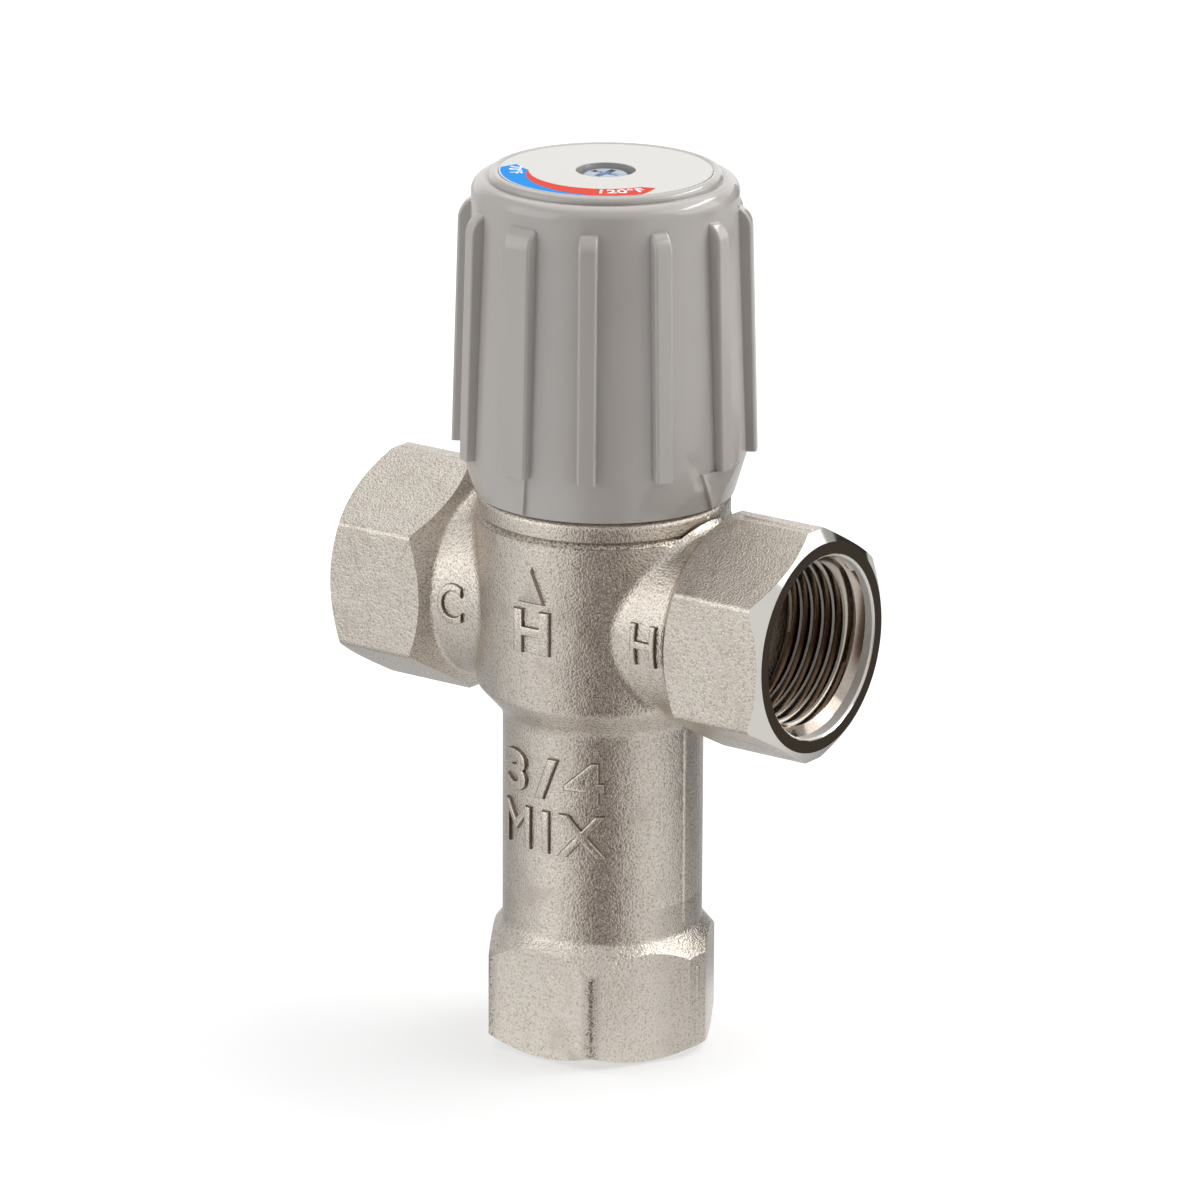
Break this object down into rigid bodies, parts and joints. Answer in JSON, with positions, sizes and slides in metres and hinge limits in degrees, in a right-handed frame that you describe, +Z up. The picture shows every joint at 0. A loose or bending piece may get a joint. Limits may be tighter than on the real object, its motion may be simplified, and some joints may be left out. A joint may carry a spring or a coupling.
{
  "type": "thermostatic mixing valve",
  "caption": "Tee-shaped thermostatic mixing valve: hot and cold side ports, mixed outlet at the foot, and a ribbed setting knob that lifts an inner spool.",
  "frame": {"origin": "centre of the mix port's face, on which the valve stands", "axes": "+Z up along the stem to the knob, +X out of the hot port, -Y the front with the cast marks"},
  "size_m": [0.076, 0.0442, 0.1302],
  "materials": {
    "nickel_plate": "blasted, nickel plated, machined faces bright",
    "grey_plastic": "satin moulded",
    "label_film": "printed film",
    "zinc_steel": "blue zinc",
    "brass": "machined",
    "stainless": "drawn",
    "copper": "drawn",
    "black_plastic": "moulded",
    "black_rubber": "moulded",
    "wax": "waxy"
  },
  "bodies": {
    "housing": {"valve_body": "nickel_plate", "bonnet": "brass", "bonnet_o_ring": "black_rubber", "hot_seat": "stainless", "flow_guide": "black_plastic", "return_spring": "stainless", "thrust_washer": "black_plastic"},
    "knob_set": {"knob": "grey_plastic", "knob_label": "label_film", "knob_screw": "zinc_steel", "spindle": "brass", "spindle_o_ring_lower": "black_rubber", "spindle_o_ring_upper": "black_rubber", "spindle_circlip": "stainless"},
    "nut_set": {"setting_nut": "brass", "overtravel_spring": "stainless", "overtravel_ring": "stainless"},
    "button_set": {"overtravel_button": "black_plastic", "push_pin": "stainless"},
    "shuttle": {"spool": "black_plastic", "spool_o_ring": "black_rubber", "element_guide": "brass", "element_cup": "copper", "element_plug": "black_rubber", "wax_charge": "wax"}
  },
  "joints": [
    {"name": "knob_turn", "type": "hinge", "parent": "housing", "child": "knob_set", "pos_m": [0, 0, 0.1], "axis": [0, 0, 1], "range_deg": [-135, 135]},
    {"name": "nut_lift", "type": "slide", "parent": "housing", "child": "nut_set", "axis": [0, 0, 1], "range_m": [-0.00056, 0.00056]},
    {"name": "overtravel", "type": "slide", "parent": "nut_set", "child": "button_set", "axis": [0, 0, 1], "range_m": [0, 0.0012], "stiffness_N_per_m": 12000, "springref_m": -0.001, "deforming": ["overtravel_spring"]},
    {"name": "thermal_stroke", "type": "slide", "parent": "nut_set", "child": "shuttle", "axis": [0, 0, 1], "range_m": [-0.0008, 0.0004], "deforming": ["return_spring"]}
  ],
  "couplings": [
    {"joint": "knob_turn", "follows": "nut_lift", "rad_per_m": 4188.8}
  ]
}
